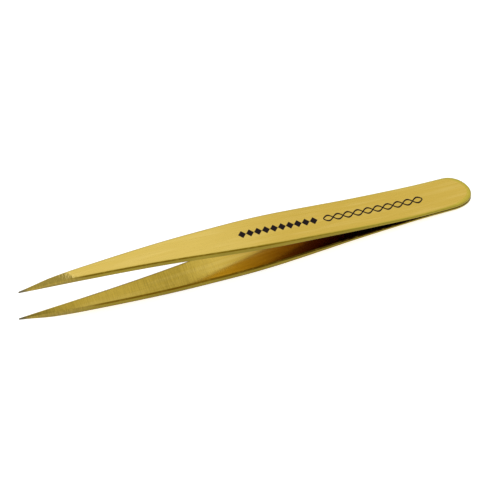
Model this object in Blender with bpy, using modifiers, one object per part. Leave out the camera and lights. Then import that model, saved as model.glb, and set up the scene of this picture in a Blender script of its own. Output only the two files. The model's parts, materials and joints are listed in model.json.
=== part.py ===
"""Precision tweezers: two plated steel strips with needle tips, spot-welded together at the tail.

Each arm is thick where the fingers press and thin towards the tail, where it bends as a spring. An arm
is two nodes that meet at the middle of its bend: the blade, which swings, and the heel, which is welded.

The arms are drawn about the plane half way between them. A station is a distance from the tips along
that plane, towards the tail, and a height is a distance above it. The finished tweezers then lie on the
lower arm's belly and the tail's end, with the origin under the middle of their box, +X to the tail.
"""

import math

import bmesh
import bpy
from mathutils import Matrix, Vector

MM = 0.001

# Overall size
LENGTH = 120 * MM
HALF_WIDTH = 4.87 * MM
TAIL_HALF_WIDTH = 4.7 * MM
TAIL_ROUNDING = 5.8 * MM  # length of the rounded end, seen from above
TAIL_SKEW = 1 * MM  # the rounded end leans to the side, and its foremost point lies this far off the middle
TAIL_HEIGHT = 0.9 * MM  # outer face above the middle plane, where the strips are welded

# The strip's thickness
TIP_THICKNESS = 0.32 * MM
GRIP_THICKNESS = 1.84 * MM
SPRING_THICKNESS = 0.8 * MM

# The tips
TIP_HALF_WIDTH = 0.17 * MM
TIP_HEIGHT = 5.95 * MM  # outer face at the very tip

# The belly: a flat on each outer face, in line with the tail's end, on which the tweezers lie
REST_SLOPE = 0.08
BELLY_START = 46 * MM
BELLY_END = 56 * MM

# The bend: the middle of the stretch where a strip gives when it is squeezed
HINGE_STATION = 96.5 * MM

# Spot welds, as flat lenses in shallow pockets of both strips
WELD_STATIONS = {"spot_weld_front": 110 * MM, "spot_weld_rear": 115.5 * MM}
WELD_RADIUS = 1.5 * MM
WELD_HALF_HEIGHT = 0.24 * MM
POCKET_RADIUS = 1.8 * MM
POCKET_TOP = 0.5 * MM  # height of the pocket's end above the middle plane

CHAMFER = 0.15 * MM
GAP = 0.3 * MM  # left between pieces that touch
STEP = 3 * MM  # longest straight piece of a curved stretch
END_STEPS = 12  # straight pieces on each side of the rounded end
CLEARANCE = 2 * MM  # how far a cutter reaches past what it cuts
BLOCK_WIDTH = 20 * MM  # the blocks that divide the arms are wider and taller than the arms
BLOCK_HEIGHT = 40 * MM


def belly_height(station):
    """The line that the tweezers lie on, mirrored to the upper arm."""
    return TAIL_HEIGHT + REST_SLOPE * (LENGTH - station)


# Knots of three smooth curves along the arm: station, value, slope
OUTER_HEIGHT = (
    (0, TIP_HEIGHT, 0.19),
    (14 * MM, 7.63 * MM, 0.04),
    (20 * MM, 7.67 * MM, 0),
    (BELLY_START, belly_height(BELLY_START), -REST_SLOPE),
    (BELLY_END, belly_height(BELLY_END), -REST_SLOPE),
    (84 * MM, 2.98 * MM, -0.128),
    (96 * MM, 1.68 * MM, -0.095),
    (109 * MM, TAIL_HEIGHT, 0),
    (LENGTH, TAIL_HEIGHT, 0),
)
THICKNESS = (
    (0, TIP_THICKNESS, 0.185),
    (14 * MM, 1.8 * MM, 0.03),
    (20 * MM, GRIP_THICKNESS, 0),
    (66 * MM, GRIP_THICKNESS, 0),
    (72 * MM, 1.73 * MM, -0.03),
    (98 * MM, 0.92 * MM, -0.024),
    (103 * MM, SPRING_THICKNESS, 0),
    (LENGTH, SPRING_THICKNESS, 0),
)
PLAN = (
    (0, TIP_HALF_WIDTH, 0.105),
    (16 * MM, 1.58 * MM, 0.071),
    (56 * MM, 4.38 * MM, 0.06),
    (72 * MM, HALF_WIDTH, 0),
    (100 * MM, HALF_WIDTH, 0),
    (LENGTH - TAIL_ROUNDING, TAIL_HALF_WIDTH, -0.015),
)

# Colour, roughness
PLATED_GOLD = ("plated_gold", (0.66, 0.47, 0.12, 1), 0.3)
WELD_STEEL = ("weld_steel", (0.42, 0.42, 0.43, 1), 0.5)


def along(knots, station):
    """The smooth curve through the knots, read at a station."""
    for (left, low, low_slope), (right, high, high_slope) in zip(knots, knots[1:]):
        if station <= right:
            break
    span = right - left
    t = (station - left) / span
    return (
        (1 + 2 * t) * (1 - t) ** 2 * low
        + t * (1 - t) ** 2 * span * low_slope
        + t * t * (3 - 2 * t) * high
        - t * t * (1 - t) * span * high_slope
    )


def stations_of(*curves):
    """The stations of the curves' knots, with the stretches between them divided into short steps."""
    marks = sorted({knot[0] for curve in curves for knot in curve})
    stations = []
    for left, right in zip(marks, marks[1:]):
        steps = math.ceil((right - left) / STEP)
        stations += [left + (right - left) * i / steps for i in range(steps)]
    return stations + [marks[-1]]


def side_outline():
    """The upper arm seen from the side: its outer face from tip to tail, then its inner face back.

    Both faces run on past the ends, which the plan view cuts.
    """
    stations = stations_of(OUTER_HEIGHT, THICKNESS)
    outer = [(s, along(OUTER_HEIGHT, s)) for s in stations]
    inner = [(s, height - along(THICKNESS, s)) for s, height in outer]
    for face in (outer, inner):
        face.insert(0, (-CLEARANCE, face[0][1]))
        face.append((LENGTH + CLEARANCE, face[-1][1]))
    return outer + inner[::-1]


def skew(station):
    """How far to the side the rounded end leans at a station."""
    return TAIL_SKEW * max(0, 1 - (LENGTH - station) / TAIL_ROUNDING) ** 2


def plan_outline():
    """The arm seen from above: one side from tip to tail with half the rounded end, then the other."""
    side = [(s, along(PLAN, s)) for s in stations_of(PLAN)]
    for i in range(1, END_STEPS):
        turn = math.pi / 2 * i / END_STEPS
        end_station = LENGTH - TAIL_ROUNDING * (1 - math.sin(turn))
        side.append((end_station, TAIL_HALF_WIDTH * math.cos(turn)))
    outline = side + [(LENGTH, 0)] + [(s, -half_width) for s, half_width in reversed(side)]
    return [(s, across - skew(s)) for s, across in outline]


def hinge_height():
    """The middle of the strip at the bend."""
    outer = along(OUTER_HEIGHT, HINGE_STATION)
    return outer - along(THICKNESS, HINGE_STATION) / 2


def collection(name):
    made = bpy.data.collections.new(name)
    bpy.context.scene.collection.children.link(made)
    return made


def material(name, colour, roughness):
    made = bpy.data.materials.new(name)
    made.use_nodes = True
    shader = made.node_tree.nodes["Principled BSDF"]
    shader.inputs["Base Color"].default_value = colour
    shader.inputs["Metallic"].default_value = 1
    shader.inputs["Roughness"].default_value = roughness
    return made


def as_mesh(obj):
    """The object's evaluated shape as a welded mesh in world space. The object is removed."""
    bpy.context.view_layer.update()
    graph = bpy.context.evaluated_depsgraph_get()
    mesh = bpy.data.meshes.new_from_object(obj.evaluated_get(graph))
    mesh.transform(obj.matrix_world)
    bpy.data.objects.remove(obj)
    shape = bmesh.new()
    shape.from_mesh(mesh)
    bmesh.ops.remove_doubles(shape, verts=shape.verts, dist=0.001 * MM)
    bmesh.ops.recalc_face_normals(shape, faces=shape.faces)
    shape.to_mesh(mesh)
    shape.free()
    return mesh


def outline_solid(name, points, half_depth, rotation):
    """A closed flat outline thickened by half_depth on both sides of its own plane."""
    curve = bpy.data.curves.new(name, "CURVE")
    curve.dimensions = "2D"
    curve.fill_mode = "BOTH"
    curve.extrude = half_depth
    spline = curve.splines.new("POLY")
    spline.points.add(len(points) - 1)
    for point, (x, y) in zip(spline.points, points):
        point.co = (x, y, 0, 1)
    spline.use_cyclic_u = True
    drawn = bpy.data.objects.new(name, curve)
    drawn.rotation_euler = rotation
    bpy.context.scene.collection.objects.link(drawn)
    return as_mesh(drawn)


def cutter(name, mesh, cutters):
    """A shape that only cuts others, so it isn't a part itself."""
    made = bpy.data.objects.new(name, mesh)
    made.display_type = "WIRE"
    made.hide_render = True
    cutters.objects.link(made)
    return made


def slab(name, start, end, cutters):
    """A block that holds the stretch of an arm between two stations."""
    bpy.ops.mesh.primitive_cube_add(size=1)
    block = bpy.context.object
    block.scale = (end - start, BLOCK_WIDTH, BLOCK_HEIGHT)
    block.location = ((start + end) / 2, 0, 0)
    return cutter(name, as_mesh(block), cutters)


def pocket(name, station, cutters):
    """The room for a spot weld in the upper strip."""
    bpy.ops.mesh.primitive_cylinder_add(vertices=32, radius=POCKET_RADIUS, depth=POCKET_TOP + CLEARANCE)
    drum = bpy.context.object
    drum.location = (station, 0, (POCKET_TOP - CLEARANCE) / 2)
    return cutter(name, as_mesh(drum), cutters)


def boolean(obj, operation, other):
    made = obj.modifiers.new(f"{operation} {other.name}", "BOOLEAN")
    made.operation = operation
    made.object = other


def whole_arm(name, cutters):
    """The upper arm from end to end: its side view and its plan view, crossed, with chamfered edges."""
    side = outline_solid("side_view", side_outline(), 2 * HALF_WIDTH, (math.pi / 2, 0, 0))
    plan = outline_solid("plan_view", plan_outline(), LENGTH / 4, (0, 0, 0))
    arm = bpy.data.objects.new(name, side)
    bpy.context.scene.collection.objects.link(arm)
    boolean(arm, "INTERSECT", cutter("plan_view", plan, cutters))
    chamfer = arm.modifiers.new("chamfer", "BEVEL")
    chamfer.width = CHAMFER
    chamfer.segments = 1
    chamfer.limit_method = "ANGLE"
    chamfer.angle_limit = math.radians(50)
    return as_mesh(arm)


def arm_nodes(parts, cutters, finish):
    """The upper blade and heel, and the lower ones as their mirror images."""
    arm = whole_arm("whole_arm", cutters)
    before_bend = slab("before_bend", -CLEARANCE, HINGE_STATION - GAP / 2, cutters)
    after_bend = slab("after_bend", HINGE_STATION + GAP / 2, LENGTH + CLEARANCE, cutters)
    pockets = [pocket(f"{name}_pocket", at, cutters) for name, at in WELD_STATIONS.items()]
    stretches = {"blade": (before_bend, []), "heel": (after_bend, pockets)}
    hinge = Vector((HINGE_STATION, 0, hinge_height()))
    made = []
    for stretch, (block, holes) in stretches.items():
        source = bpy.data.objects.new(stretch, arm.copy())
        bpy.context.scene.collection.objects.link(source)
        boolean(source, "INTERSECT", block)
        for hole in holes:
            boolean(source, "DIFFERENCE", hole)
        mesh = as_mesh(source)
        mesh.transform(Matrix.Translation(-hinge))
        mesh.materials.append(finish)
        mirrored = mesh.copy()
        mirrored.transform(Matrix.Diagonal((1, 1, -1, 1)))
        mirrored.flip_normals()
        for arm_name, side, shape in (("upper", 1, mesh), ("lower", -1, mirrored)):
            node = bpy.data.objects.new(f"{arm_name}_arm_{stretch}", shape)
            node.location = (hinge.x, 0, side * hinge.z)
            parts.objects.link(node)
            made.append(node)
    return made


def spot_welds(parts, finish):
    made = []
    for name, station in WELD_STATIONS.items():
        bpy.ops.mesh.primitive_uv_sphere_add(segments=24, ring_count=10, radius=WELD_RADIUS)
        lens = bpy.context.object
        lens.scale.z = WELD_HALF_HEIGHT / WELD_RADIUS
        mesh = as_mesh(lens)
        mesh.materials.append(finish)
        mesh.shade_smooth()
        node = bpy.data.objects.new(name, mesh)
        node.location = (station, 0, 0)
        parts.objects.link(node)
        made.append(node)
    return made


def lay_down(nodes, parts):
    """Turns the tweezers onto the lower arm's belly and puts the origin under the middle of their box."""
    resting = bpy.data.objects.new("resting_tweezers", None)
    parts.objects.link(resting)
    resting.rotation_euler.y = math.atan(REST_SLOPE)
    for node in nodes:
        node.parent = resting
    bpy.context.view_layer.update()
    corners = [node.matrix_world @ v.co for node in nodes for v in node.data.vertices]
    low = Vector(min(c[axis] for c in corners) for axis in range(3))
    high = Vector(max(c[axis] for c in corners) for axis in range(3))
    resting.location = -Vector(((low.x + high.x) / 2, 0, low.z))
    bpy.context.view_layer.update()


def main():
    for obj in list(bpy.data.objects):
        bpy.data.objects.remove(obj)
    parts = collection("precision_tweezers")
    cutters = collection("cutters")
    nodes = arm_nodes(parts, cutters, material(*PLATED_GOLD))
    nodes += spot_welds(parts, material(*WELD_STEEL))
    lay_down(nodes, parts)


main()
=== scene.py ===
"""The looks of the precision tweezers: both arms in fine detail, the welds, floor, light and camera."""

import json
import math

import bmesh
import bpy
from mathutils import Matrix, Vector


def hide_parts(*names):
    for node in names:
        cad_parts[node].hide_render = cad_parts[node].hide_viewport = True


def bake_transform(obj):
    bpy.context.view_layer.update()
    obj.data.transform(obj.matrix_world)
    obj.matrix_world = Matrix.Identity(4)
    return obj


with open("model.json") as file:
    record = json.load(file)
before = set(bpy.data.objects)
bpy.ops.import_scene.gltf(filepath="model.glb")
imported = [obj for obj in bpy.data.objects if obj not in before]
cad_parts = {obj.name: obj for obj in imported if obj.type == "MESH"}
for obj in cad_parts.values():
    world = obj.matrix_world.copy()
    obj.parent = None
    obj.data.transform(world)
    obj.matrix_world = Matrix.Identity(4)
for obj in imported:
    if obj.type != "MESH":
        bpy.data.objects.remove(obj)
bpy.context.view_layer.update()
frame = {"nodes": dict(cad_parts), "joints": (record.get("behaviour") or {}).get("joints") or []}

MM = 0.001

# ---------------------------------------------------------------- the arm's shape
#
# The arms are drawn about the plane half way between them, with the model's sizes. A station is a
# distance from the tips along that plane, towards the tail, and a height is a distance above it.

LENGTH = 120 * MM
HALF_WIDTH = 4.87 * MM
TAIL_HALF_WIDTH = 4.7 * MM
TAIL_ROUNDING = 5.8 * MM
TAIL_SKEW = 1 * MM  # the middle of the rounded end lies this far to the side
TAIL_HEIGHT = 0.9 * MM
TIP_THICKNESS = 0.32 * MM
GRIP_THICKNESS = 1.84 * MM
SPRING_THICKNESS = 0.84 * MM
TIP_HALF_WIDTH = 0.17 * MM
TIP_HEIGHT = 5.95 * MM
REST_SLOPE = 0.08
BELLY_START = 46 * MM
BELLY_END = 56 * MM
HINGE_STATION = 96.5 * MM

# Every long edge is chamfered
CHAMFER = 0.26 * MM
CREASE = 0.05 * MM  # how far the softening of a crease reaches
SUPPORT = 0.07 * MM  # from a chamfer to the row of points that keeps the surface beside it flat

# The tip is ground: its outer chamfers are rounded, and grow towards a half-round point
ROUND_STATION = 2 * MM
SHOULDER_STATION = 8 * MM
GROUND_STATION = 15 * MM
SHOULDER = 0.16  # of the half width and of the thickness
POINT_SHOULDER = 0.6

# The end of the tail is bevelled wider and flatter than the sides
TAIL_BEVEL = 0.95 * MM
TAIL_BEVEL_START = 111.5 * MM
TAIL_BEVEL_END = 118.5 * MM

# How finely the outline is divided: the sides, and each half of the point and of the tail's end
STEP = 1 * MM
TIP_STEPS = 6
TAIL_STEPS = 20
SAME_POINT = 0.00001 * MM


def belly_height(station):
    """The belly lies flat on the surface, in line with the tail's end."""
    return TAIL_HEIGHT + REST_SLOPE * (LENGTH - station)


# Knots of three smooth curves along the arm: station, value, slope
OUTER_HEIGHT = (
    (0, TIP_HEIGHT, 0.19),
    (14 * MM, 7.63 * MM, 0.04),
    (20 * MM, 7.67 * MM, 0),
    (BELLY_START, belly_height(BELLY_START), -REST_SLOPE),
    (BELLY_END, belly_height(BELLY_END), -REST_SLOPE),
    (84 * MM, 2.98 * MM, -0.128),
    (96 * MM, 1.68 * MM, -0.095),
    (109 * MM, TAIL_HEIGHT, 0),
    (LENGTH, TAIL_HEIGHT, 0),
)
THICKNESS = (
    (0, TIP_THICKNESS, 0.185),
    (14 * MM, 1.8 * MM, 0.03),
    (20 * MM, GRIP_THICKNESS, 0),
    (66 * MM, GRIP_THICKNESS, 0),
    (72 * MM, 1.73 * MM, -0.03),
    (98 * MM, 0.92 * MM, -0.024),
    (103 * MM, SPRING_THICKNESS, 0),
    (LENGTH, SPRING_THICKNESS, 0),
)
PLAN = (
    (0, TIP_HALF_WIDTH, 0.105),
    (16 * MM, 1.58 * MM, 0.071),
    (56 * MM, 4.38 * MM, 0.06),
    (72 * MM, HALF_WIDTH, 0),
    (100 * MM, HALF_WIDTH, 0),
    (LENGTH - TAIL_ROUNDING, TAIL_HALF_WIDTH, -0.015),
)


def along(knots, station):
    """The smooth curve through the knots, read at a station."""
    for (left, low, low_slope), (right, high, high_slope) in zip(knots, knots[1:]):
        if station <= right:
            break
    span = right - left
    t = (station - left) / span
    return (
        (1 + 2 * t) * (1 - t) ** 2 * low
        + t * (1 - t) ** 2 * span * low_slope
        + t * t * (3 - 2 * t) * high
        - t * t * (1 - t) * span * high_slope
    )


def mix(low, high, share):
    return low + (high - low) * share


def smooth_share(value, start, end):
    """0 before start, 1 after end, and an S-curve between."""
    t = min(1, max(0, (value - start) / (end - start)))
    return t * t * (3 - 2 * t)


def half_outline():
    """One side of the arm seen from above, from the middle of the tip round to the middle of the tail."""
    points = []
    for i in range(TIP_STEPS):
        turn = math.pi / 2 * i / TIP_STEPS
        station = TIP_HALF_WIDTH * (1 - math.cos(turn))
        points.append(Vector((station, TIP_HALF_WIDTH * math.sin(turn))))
    tail_start = LENGTH - TAIL_ROUNDING
    steps = math.ceil((tail_start - TIP_HALF_WIDTH) / STEP)
    for i in range(steps):
        station = mix(TIP_HALF_WIDTH, tail_start, i / steps)
        points.append(Vector((station, along(PLAN, station))))
    for i in range(TAIL_STEPS + 1):
        turn = math.pi / 2 * i / TAIL_STEPS
        station = tail_start + TAIL_ROUNDING * math.sin(turn)
        points.append(Vector((station, TAIL_HALF_WIDTH * math.cos(turn))))
    return points


def inward_normals(points):
    """The direction into the outline at each of its points."""
    flip = Vector((1, -1))
    closed = [points[1] * flip] + points + [points[-2] * flip]
    normals = []
    for before, after in zip(closed, closed[2:]):
        run = (after - before).normalized()
        normals.append(Vector((run.y, -run.x)))
    return normals


def softened(corner, before, after):
    """Three points that take the crease off a corner."""
    start = corner + before
    end = corner + after
    return [start, (start + 2 * corner + end) / 4, end]


def corner_points(inset, drop, roundness):
    """An edge, from the face to the flank: each point's distances in from the outline and from the face.

    It is a chamfer with softened creases, or at roundness 1 a quarter of an ellipse.
    """
    on_face = Vector((inset, 0))
    on_flank = Vector((0, drop))
    slope = on_flank - on_face
    reach = min(CREASE, 0.3 * slope.length)
    slant = slope.normalized() * reach
    chamfer = softened(on_face, Vector((reach, 0)), slant)
    chamfer += [on_face.lerp(on_flank, 0.4), on_face.lerp(on_flank, 0.6)]
    chamfer += softened(on_flank, -slant, Vector((0, reach)))
    points = []
    for i, flat in enumerate(chamfer):
        turn = math.pi / 2 * i / (len(chamfer) - 1)
        rounded = Vector((inset * (1 - math.sin(turn)), drop * (1 - math.cos(turn))))
        points.append(flat.lerp(rounded, roundness))
    return points


# The five surfaces round an arm, as they come from its outer face to its inner one
OUTER_FACE, OUTER_EDGE, FLANK, INNER_EDGE, INNER_FACE = range(5)


def section(station):
    """Half of the arm's section at a station, from the middle of its outer face to that of its inner one.

    Each row is a point: its distance in from the outline, its share of the way across from the middle to
    there, its distances from the outer and the inner face, of which one is None, and its surface. Where
    the arm is narrow or thin, a chamfer and its support are no more than a share of it.
    """
    bevel = mix(CHAMFER, TAIL_BEVEL, smooth_share(station, TAIL_BEVEL_START, TAIL_BEVEL_END))
    station = min(station, LENGTH - TAIL_ROUNDING)
    half_width = along(PLAN, station)
    thickness = along(THICKNESS, station)
    roundness = 1 - smooth_share(station, SHOULDER_STATION, GROUND_STATION)
    shoulder = mix(POINT_SHOULDER, SHOULDER, smooth_share(station, ROUND_STATION, SHOULDER_STATION))
    outer = corner_points(
        mix(min(bevel, 0.3 * half_width), shoulder * half_width, roundness),
        mix(min(CHAMFER, 0.2 * thickness), shoulder * thickness, roundness),
        roundness,
    )
    inner = corner_points(min(CHAMFER, 0.25 * half_width), min(CHAMFER, 0.15 * thickness), 0)
    outer_support = outer[0].x + min(SUPPORT, 0.4 * (half_width - outer[0].x))
    inner_support = inner[0].x + min(SUPPORT, 0.4 * (half_width - inner[0].x))
    flank_height = thickness - outer[-1].y - inner[-1].y
    flank_support = min(SUPPORT, 0.3 * flank_height)
    rows = [(outer_support, share, 0, None, OUTER_FACE) for share in (0, 0.5, 1)]
    rows += [(point.x, 1, point.y, None, OUTER_EDGE) for point in outer]
    rows.append((0, 1, outer[-1].y + flank_support, None, FLANK))
    rows.append((0, 1, None, inner[-1].y + flank_support, FLANK))
    rows += [(point.x, 1, None, point.y, INNER_EDGE) for point in reversed(inner)]
    rows += [(inner_support, share, None, 0, INNER_FACE) for share in (1, 0.5, 0)]
    return rows


def skew(station):
    """How far to the side the rounded end leans at a station."""
    return TAIL_SKEW * max(0, 1 - (LENGTH - station) / TAIL_ROUNDING) ** 2


def arm_mesh(name, up):
    """An arm as one closed skin, with a section at each point of its outline.

    up is 1 for the upper arm, and -1 for the lower one, its mirror image. For the materials, each point
    also keeps its place along the arm, across it and below its outer face, and its distance from the
    outline, in mm.
    """
    points = half_outline()
    normals = inward_normals(points)
    skin = bmesh.new()
    place = skin.verts.layers.float_vector.new("along_arm")
    margin = skin.verts.layers.float.new("from_edge")
    for side in (1, -1):
        before = None
        for point, normal in zip(points, normals):
            column = []
            for inset, share, drop, rise, surface in section(point.x):
                spot = point + normal * inset
                across = spot.y * share * side - skew(spot.x)
                outer = along(OUTER_HEIGHT, spot.x)
                thickness = along(THICKNESS, spot.x)
                depth = thickness - rise if drop is None else drop
                vert = skin.verts.new((spot.x, across, up * (outer - depth)))
                vert[place] = Vector((spot.x, across, depth)) / MM
                vert[margin] = (inset + spot.y * (1 - share)) / MM
                column.append((vert, surface))
            if before:
                for (a, _), (b, _), (c, _), (d, surface) in zip(before, before[1:], column[1:], column):
                    face = skin.faces.new((a, b, c, d) if side * up > 0 else (d, c, b, a))
                    face.material_index = surface
            before = column
    bmesh.ops.remove_doubles(skin, verts=skin.verts, dist=SAME_POINT)
    bmesh.ops.recalc_face_normals(skin, faces=skin.faces)
    mesh = bpy.data.meshes.new(name)
    skin.to_mesh(mesh)
    skin.free()
    mesh.shade_smooth()
    return mesh


# ---------------------------------------------------------------- materials


def node(tree, kind, inputs, **settings):
    """Adds a node, and sets its properties, and its inputs from values or from other nodes' outputs."""
    made = tree.nodes.new(kind)
    for name, value in settings.items():
        setattr(made, name, value)
    for socket, value in inputs.items():
        if isinstance(value, bpy.types.NodeSocket):
            tree.links.new(value, made.inputs[socket])
        else:
            made.inputs[socket].default_value = value
    return made


def new_material(name):
    """A material, with its node tree and its shader."""
    material = bpy.data.materials.new(name)
    material.use_nodes = True
    tree = material.node_tree
    return material, tree, tree.nodes["Principled BSDF"]


def base_colour(tree):
    """The output that now gives the shader its base colour."""
    return tree.nodes["Principled BSDF"].inputs["Base Color"].links[0].from_socket


def set_base_colour(tree, colour):
    tree.links.new(colour, tree.nodes["Principled BSDF"].inputs["Base Color"])


def math_node(tree, operation, *inputs):
    return node(tree, "ShaderNodeMath", dict(enumerate(inputs)), operation=operation).outputs[0]


def ramp(tree, value, start, end, low=0, high=1):
    """low before start, high after end, and an S-curve between."""
    inputs = {"Value": value, "From Min": start, "From Max": end, "To Min": low, "To Max": high}
    return node(tree, "ShaderNodeMapRange", inputs, interpolation_type="SMOOTHSTEP").outputs["Result"]


def within(tree, value, start, end):
    """1 between start and end, and 0 elsewhere."""
    after_start = math_node(tree, "GREATER_THAN", value, start)
    return math_node(tree, "MULTIPLY", after_start, math_node(tree, "LESS_THAN", value, end))


def blend_colours(tree, share, low, high):
    return node(tree, "ShaderNodeMix", {0: share, 6: low, 7: high}, data_type="RGBA").outputs[2]


def blend_values(tree, share, low, high):
    return node(tree, "ShaderNodeMix", {0: share, 2: low, 3: high}, data_type="FLOAT").outputs[0]


def tinted(tree, colour, share, low, high):
    """The colour times a factor for each channel, which goes from low to high."""
    inputs = {0: 1, 6: colour, 7: blend_colours(tree, share, low, high)}
    return node(tree, "ShaderNodeMix", inputs, data_type="RGBA", blend_type="MULTIPLY").outputs[2]


def scratches(tree, place, lengths, detail=3):
    """Noise stretched to streaks of these lengths, in mm along, across and down the arm."""
    scale = tuple(1 / length for length in lengths)
    stretched = node(tree, "ShaderNodeVectorMath", {0: place, 1: scale}, operation="MULTIPLY")
    inputs = {"Vector": stretched.outputs[0], "Scale": 1, "Detail": detail, "Roughness": 0.6}
    return node(tree, "ShaderNodeTexNoise", inputs).outputs["Fac"]


def srgb(red, green, blue):
    """A colour as it is seen, made the linear colour that a shader works in."""
    linear = []
    for value in (red, green, blue):
        linear.append(value / 12.92 if value <= 0.04045 else ((value + 0.055) / 1.055) ** 2.4)
    return (*linear, 1)


def shade(colour, *factors):
    """The colour, made darker or lighter by a factor for each channel, or by one for all."""
    if len(factors) == 1:
        factors *= 3
    return tuple(min(1, channel * factor) for channel, factor in zip(colour, factors)) + (1,)


FACE_GOLD = srgb(0.845, 0.735, 0.37)
TAIL_GOLD = srgb(0.795, 0.675, 0.30)
GROUND_GOLD = srgb(0.63, 0.555, 0.265)
# Painted shade: the flanks are coloured darker and more olive than the face, for the dim light they
# reflect, and less dark towards the tail.
FLANK_PAINTED_SHADE_GOLD = srgb(0.57, 0.485, 0.13)
TAIL_FLANK_PAINTED_SHADE_GOLD = srgb(0.66, 0.57, 0.20)
# Painted shade: the outer edges are coloured darker and browner than the face, and lighter towards the
# tail.
EDGE_PAINTED_SHADE_GOLD = srgb(0.60, 0.48, 0.12)
TAIL_EDGE_PAINTED_SHADE_GOLD = srgb(0.75, 0.67, 0.27)
# Painted shade: the inner edges are coloured dark along the seam between the arms, darkest towards the
# tail.
SEAM_PAINTED_SHADE_GOLD = srgb(0.50, 0.365, 0.055)
TAIL_SEAM_PAINTED_SHADE_GOLD = srgb(0.20, 0.12, 0.03)
INNER_GOLD = srgb(0.80, 0.69, 0.30)
TIP_STEEL = srgb(0.40, 0.39, 0.34)
BRIGHT_GOLD = srgb(0.97, 0.88, 0.58)
SIDE_HIGHLIGHT = srgb(0.82, 0.72, 0.28)
INK = srgb(0.085, 0.025, 0.035)
WELD_STRAW = srgb(0.62, 0.55, 0.44)
WELD_BLUE = srgb(0.46, 0.49, 0.56)
WHITE = (1, 1, 1, 1)

# Lengths of the streaks in the finishes, in mm along, across and down the arm
FACE_GRAIN = (14, 0.12, 0.4)
INNER_GRAIN = (14, 0.15, 0.4)
SIDE_GRAIN = (6, 0.1, 0.1)
BROAD_STREAKS = (22, 1.6, 3)
BLOTCHES = (1.4, 0.7, 0.7)
TIP_MARKS = (0.18, 2.5, 2.5)
INNER_MARKS = (0.16, 3, 3)

GRINDING_SLANT = 0.7  # how far the end of the ground tip runs along the arm, for its distance across

# The ornament printed along the upper arm: a chain of lozenges, then a cord of two strands. Its lengths
# are in mm.
CHAIN_START = 58.3
LOZENGE_LENGTH = 2.12
LOZENGES = 10
LOZENGE_HALF_WIDTH = 1.15
CORD_START = 81
LOOP_LENGTH = 2.65
LOOPS = 10
LOOP_HALF_WIDTH = 0.85
LINE_HALF_WIDTH = 0.24


def arm_place(tree):
    """The place along the arm, across it and below its outer face, in mm.

    The first two are given on their own as well.
    """
    place = node(tree, "ShaderNodeAttribute", {}, attribute_name="along_arm").outputs["Vector"]
    station, across, _ = node(tree, "ShaderNodeSeparateXYZ", {0: place}).outputs
    return place, station, across


def slanted(tree, station, across):
    """The station on lines at a slant to the arm, as the ground tip ends."""
    return math_node(tree, "MULTIPLY_ADD", across, GRINDING_SLANT, station)


def shifted(tree, value, marks, reach):
    """The value, shifted either way by the marks, by up to half of reach."""
    return math_node(tree, "MULTIPLY_ADD", math_node(tree, "SUBTRACT", marks, 0.5), reach, value)


def gold(name, colours, fade, grain, roughness, ground, highlight, tone=1.0, wear=0.0, outline=1.0):
    """Gold plate on brushed steel, with a ground tip. All lengths are in mm.

    colours: the plate's colour in front and at the rear. It fades over the stations in fade.
    grain: the lengths of the plate's streaks.
    ground: the stations between which the finish of the ground tip gives way to the plate.
    highlight: the colour of the plate's paler streaks, and of its worn blotches.
    tone: how bright the ground finish is painted; above 1 it is painted light.
    wear: how strongly the blotches show.
    outline: how bright the plate is at the arm's outline, where a value below 1 paints a shade along it.
    """
    material, tree, shader = new_material(name)
    place, station, across = arm_place(tree)
    margin = node(tree, "ShaderNodeAttribute", {}, attribute_name="from_edge").outputs["Fac"]

    fine = scratches(tree, place, grain)
    broad = scratches(tree, place, BROAD_STREAKS, 2)
    cross = scratches(tree, place, TIP_MARKS)
    blotch = scratches(tree, place, BLOTCHES, 2)

    # The plate: brushed lengthwise, paler in broad streaks, and with painted shade near the edges
    plate = blend_colours(tree, ramp(tree, station, *fade), *colours)
    plate = blend_colours(tree, ramp(tree, broad, 0.45, 0.7, 0, 0.12), plate, highlight)
    plate = tinted(tree, plate, ramp(tree, fine, 0.3, 0.7), (0.95, 0.95, 0.92, 1), (1.03, 1.03, 1.05, 1))
    # Painted shade: the colour darkens within a fraction of a mm of the outline, over the face's borders,
    # the edges and the whole flank.
    plate = tinted(tree, plate, ramp(tree, margin, 0.2, 0.75), (0.84, 0.89, 0.78, 1), WHITE)
    plate = blend_colours(tree, ramp(tree, blotch, 0.52, 0.62, 0, wear), plate, highlight)
    # Painted shade: a darker line right at the outline, as strong as outline sets it.
    painted_outline_shade = (outline, outline, 0.9 * outline, 1)
    plate = tinted(tree, plate, ramp(tree, margin, 0.02, 0.22), painted_outline_shade, WHITE)

    # The ground tip: marks across it, a slanted and ragged end, and a point of bare steel
    slant = slanted(tree, station, across)
    ground_share = ramp(tree, shifted(tree, slant, cross, 5), *ground, 1, 0)
    dull = shade(GROUND_GOLD, 0.8 * tone, 0.78 * tone, 0.66 * tone)
    bright = shade(GROUND_GOLD, 1.15 * tone)
    ground_colour = blend_colours(tree, ramp(tree, cross, 0.35, 0.65), dull, bright)
    colour = blend_colours(tree, ground_share, plate, ground_colour)
    set_base_colour(tree, blend_colours(tree, ramp(tree, slant, 0.6, 3, 0.85, 0), colour, TIP_STEEL))

    marks = blend_values(tree, ground_share, fine, cross)
    rough = shifted(tree, blend_values(tree, ground_share, roughness, 0.55), marks, 0.25)
    tree.links.new(rough, shader.inputs["Roughness"])
    bump = node(tree, "ShaderNodeBump", {"Height": marks, "Strength": 0.35, "Distance": 0.006 * MM})
    tree.links.new(bump.outputs["Normal"], shader.inputs["Normal"])
    shader.inputs["Metallic"].default_value = 1
    return material


def side_gold(name, colours, fade, roughness, ground, **finish):
    """The finish of an edge or a flank."""
    return gold(name, colours, fade, SIDE_GRAIN, roughness, ground, SIDE_HIGHLIGHT, **finish)


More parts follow.
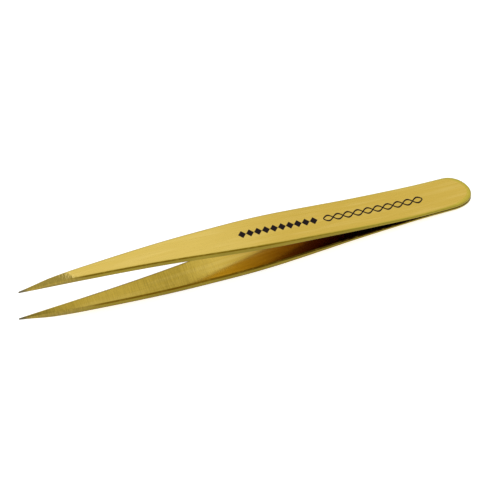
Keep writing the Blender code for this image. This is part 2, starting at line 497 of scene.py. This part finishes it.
def outer_face_gold(name):
    """The outer face has grinding marks across it where the ground tip ends, painted bright as
    highlights.
    """
    colours = (FACE_GOLD, TAIL_GOLD)
    material = gold(name, colours, (44, 76), FACE_GRAIN, 0.3, (12.8, 14.2), BRIGHT_GOLD)
    tree = material.node_tree
    place, station, across = arm_place(tree)
    slant = slanted(tree, station, across)
    # Painted highlights on the grinding marks where the ground tip ends.
    before_end = ramp(tree, slant, 10.5, 12.5)
    after_end = ramp(tree, slant, 14, 15.5, 1, 0)
    near_end = math_node(tree, "MULTIPLY", before_end, after_end)
    marks = ramp(tree, scratches(tree, place, TIP_MARKS), 0.5, 0.62, 0, 0.6)
    share = math_node(tree, "MULTIPLY", near_end, marks)
    set_base_colour(tree, blend_colours(tree, share, base_colour(tree), BRIGHT_GOLD))
    return material


def inner_face_gold(name):
    """The inner face is dull from grinding in front, polished behind it, and painted dark towards the
    tail as shade between the arms.
    """
    # Painted shade: the colour darkens towards the tail, where the arms close in on each other.
    colours = (INNER_GOLD, shade(INNER_GOLD, 0.42, 0.25, 0.10))
    material = gold(name, colours, (45, 84), INNER_GRAIN, 0.14, (2, 16), BRIGHT_GOLD)
    tree = material.node_tree
    place, station, _ = arm_place(tree)
    polished = base_colour(tree)
    marks = scratches(tree, place, INNER_MARKS, 4)
    dull = tinted(tree, polished, ramp(tree, marks, 0.3, 0.7), (0.56, 0.54, 0.4, 1), (0.76, 0.74, 0.6, 1))

    # The dull finish is weaker in a stretch behind the tip, and ends raggedly
    before_stretch = ramp(tree, station, 12, 20, 1, 0.7)
    after_stretch = ramp(tree, station, 26, 38, 0.7, 1)
    strength = math_node(tree, "MAXIMUM", before_stretch, after_stretch)
    front = ramp(tree, shifted(tree, station, marks, 9), 42, 54, 1, 0)
    share = math_node(tree, "MULTIPLY", strength, front)
    set_base_colour(tree, blend_colours(tree, share, polished, dull))
    return material


def arm_materials():
    """One finish for each surface of an arm, in the surfaces' order."""
    # The colours of the edges, the flanks and the seams carry painted shade.
    edge_colours_with_painted_shade = (EDGE_PAINTED_SHADE_GOLD, TAIL_EDGE_PAINTED_SHADE_GOLD)
    flank_colours_with_painted_shade = (FLANK_PAINTED_SHADE_GOLD, TAIL_FLANK_PAINTED_SHADE_GOLD)
    seam_colours_with_painted_shade = (SEAM_PAINTED_SHADE_GOLD, TAIL_SEAM_PAINTED_SHADE_GOLD)
    # The ground tips of the edges and inner edges are lifted as painted light, and the edges get a
    # painted shade along the outline; their wear blotches are real.
    edge_finish_and_painted_light = {"tone": 1.2, "wear": 0.2, "outline": 0.65}
    return [
        outer_face_gold("gold_outer_face"),
        side_gold("gold_outer_edge", edge_colours_with_painted_shade, (56, 96), 0.3, (12, 17), **edge_finish_and_painted_light),
        side_gold("gold_flank", flank_colours_with_painted_shade, (80, 114), 0.38, (11, 19), tone=0.85),
        side_gold("gold_inner_edge", seam_colours_with_painted_shade, (46, 84), 0.3, (16, 21), tone=1.2, wear=0.1),
        inner_face_gold("gold_inner_face"),
    ]


def chain_of_lozenges(tree, station, height):
    """1 on the chain and 0 off it, from the station and the distance from the middle of the arm.

    Along a lozenge, a point is inside it where its shares of the half length and the half width, both
    measured from the lozenge's middle, add up to less than 1.
    """
    half_length = LOZENGE_LENGTH / 2
    beyond_start = math_node(tree, "SUBTRACT", station, CHAIN_START)
    from_end = math_node(tree, "PINGPONG", beyond_start, half_length)
    length_share = math_node(tree, "SUBTRACT", 1, math_node(tree, "DIVIDE", from_end, half_length))
    width_share = math_node(tree, "DIVIDE", height, LOZENGE_HALF_WIDTH)
    inside = ramp(tree, math_node(tree, "ADD", length_share, width_share), 0.95, 1.05, 1, 0)
    chain_end = CHAIN_START + LOZENGES * LOZENGE_LENGTH
    return math_node(tree, "MULTIPLY", inside, within(tree, station, CHAIN_START, chain_end))


def two_strand_cord(tree, station, height):
    """1 on the cord's lines and 0 off them. Its strands cross at the ends of each loop."""
    beyond_start = math_node(tree, "SUBTRACT", station, CORD_START)
    phase = math_node(tree, "MULTIPLY", beyond_start, math.pi / LOOP_LENGTH)
    swing = math_node(tree, "ABSOLUTE", math_node(tree, "SINE", phase))
    strand = math_node(tree, "MULTIPLY", swing, LOOP_HALF_WIDTH)
    offset = math_node(tree, "ABSOLUTE", math_node(tree, "SUBTRACT", height, strand))
    line = ramp(tree, offset, 0.8 * LINE_HALF_WIDTH, 1.2 * LINE_HALF_WIDTH, 1, 0)
    cord_end = CORD_START + LOOPS * LOOP_LENGTH
    return math_node(tree, "MULTIPLY", line, within(tree, station, CORD_START, cord_end))


def printed_gold(name):
    """The outer face with the ornament printed on it in dark, matt ink."""
    material = outer_face_gold(name)
    tree = material.node_tree
    shader = tree.nodes["Principled BSDF"]
    _, station, across = arm_place(tree)
    height = math_node(tree, "ABSOLUTE", across)
    chain = chain_of_lozenges(tree, station, height)
    cord = two_strand_cord(tree, station, height)
    ink = math_node(tree, "MAXIMUM", chain, cord)
    set_base_colour(tree, blend_colours(tree, ink, base_colour(tree), INK))
    tree.links.new(math_node(tree, "SUBTRACT", 1, ink), shader.inputs["Metallic"])
    shader.inputs["Specular IOR Level"].default_value = 0.1
    return material


def weld_material():
    """Fused steel with the blue and straw tints of its heat."""
    material, tree, shader = new_material("weld_metal")
    place = node(tree, "ShaderNodeTexCoord", {}).outputs["Object"]
    inputs = {"Vector": place, "Scale": 1500, "Detail": 4}
    ripple = node(tree, "ShaderNodeTexNoise", inputs).outputs["Fac"]
    set_base_colour(tree, blend_colours(tree, ramp(tree, ripple, 0.4, 0.6), WELD_STRAW, WELD_BLUE))
    tree.links.new(ramp(tree, ripple, 0.3, 0.7, 0.3, 0.5), shader.inputs["Roughness"])
    bump = node(tree, "ShaderNodeBump", {"Height": ripple, "Strength": 0.5, "Distance": 0.02 * MM})
    tree.links.new(bump.outputs["Normal"], shader.inputs["Normal"])
    shader.inputs["Metallic"].default_value = 1
    return material


# ---------------------------------------------------------------- the object


def arms_frame():
    """From the frame of the plane between the arms to the frame that the object lies in.

    The plane meets the middle of the two hinges at the hinges' station, and slopes so that the belly lies
    flat.
    """
    hinges = [Vector(joint["pos_m"]) for joint in frame["joints"]]
    middle = sum(hinges, Vector()) / len(hinges)
    slope = Matrix.Rotation(math.atan(REST_SLOPE), 4, "Y")
    return Matrix.Translation(middle) @ slope @ Matrix.Translation((-HINGE_STATION, 0, 0))


def add_arm(body, up, arms, materials):
    """One strip of metal, from its tip to its tail, thin where the real one flexes."""
    mesh = arm_mesh(body, up)
    mesh.transform(arms)
    for material in materials:
        mesh.materials.append(material)
    piece = bpy.data.objects.new(body + "_strip", mesh)
    bpy.context.scene.collection.objects.link(piece)
    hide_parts(body + "_blade", body + "_heel")
    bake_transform(piece)


def add_object(arms):
    materials = arm_materials()
    add_arm("upper_arm", 1, arms, [printed_gold("printed_outer_face")] + materials[1:])
    add_arm("lower_arm", -1, arms, materials)
    weld = weld_material()
    for name in ("spot_weld_front", "spot_weld_rear"):
        mesh = frame["nodes"][name].data
        mesh.materials.clear()
        mesh.materials.append(weld)


# ---------------------------------------------------------------- floor, light and camera

FLOOR_SIZE = 30
FLOOR_COLOUR = (0.65, 0.65, 0.65, 1)
FLOOR_GLOW = 0.68
BRIGHT_SIDE = (1.05, 1.05, 1.05, 1)
DIM_SIDE = (0.76, 0.70, 0.58, 1)

# The view: its angles over the plane between the arms, the point it looks at, and its width there
CAMERA_AZIMUTH = math.radians(-17.86)
CAMERA_ELEVATION = math.radians(54.26)
CAMERA_ROLL = math.radians(0.07)
AIM = Vector((61.49 * MM, 0, -1.87 * MM))
VIEW_WIDTH = 126.86 * MM
CAMERA_DISTANCE = 4
SENSOR = 36


def add_floor():
    bpy.ops.mesh.primitive_plane_add(size=FLOOR_SIZE)
    floor = bpy.context.object
    floor.name = "floor"
    material, _, shader = new_material("pale_floor")
    shader.inputs["Base Color"].default_value = FLOOR_COLOUR
    shader.inputs["Roughness"].default_value = 0.9
    shader.inputs["Specular IOR Level"].default_value = 0.1
    shader.inputs["Emission Color"].default_value = WHITE
    shader.inputs["Emission Strength"].default_value = FLOOR_GLOW
    floor.data.materials.append(material)


def add_light():
    """A pale studio, brightest overhead and behind the object, and dimmer and warmer in front of it."""
    world = bpy.data.worlds.new("studio")
    bpy.context.scene.world = world
    world.use_nodes = True
    tree = world.node_tree
    background = tree.nodes["Background"]
    direction = node(tree, "ShaderNodeTexCoord", {}).outputs["Generated"]
    towards_back = Vector((0.1, 0.6, 0.8)).normalized()
    facing = node(tree, "ShaderNodeVectorMath", {0: direction, 1: towards_back}, operation="DOT_PRODUCT")
    share = ramp(tree, facing.outputs["Value"], -0.1, 0.7)
    tree.links.new(blend_colours(tree, share, DIM_SIDE, BRIGHT_SIDE), background.inputs["Color"])


def add_camera(arms):
    side = Vector((math.cos(CAMERA_AZIMUTH), math.sin(CAMERA_AZIMUTH), 0))
    level = math.cos(CAMERA_ELEVATION)
    back = Vector((side.y * level, -side.x * level, math.sin(CAMERA_ELEVATION)))
    level_view = Matrix((side, back.cross(side), back)).transposed()
    turned = level_view @ Matrix.Rotation(CAMERA_ROLL, 3, "Z")
    camera = bpy.data.objects.new("camera", bpy.data.cameras.new("camera"))
    bpy.context.scene.collection.objects.link(camera)
    camera.data.sensor_width = SENSOR
    camera.data.lens = SENSOR * CAMERA_DISTANCE / VIEW_WIDTH
    camera.matrix_world = arms @ Matrix.Translation(AIM + back * CAMERA_DISTANCE) @ turned.to_4x4()
    bpy.context.scene.camera = camera


arms = arms_frame()
add_object(arms)
add_floor()
add_light()
add_camera(arms)
bpy.context.scene.view_settings.view_transform = "Standard"
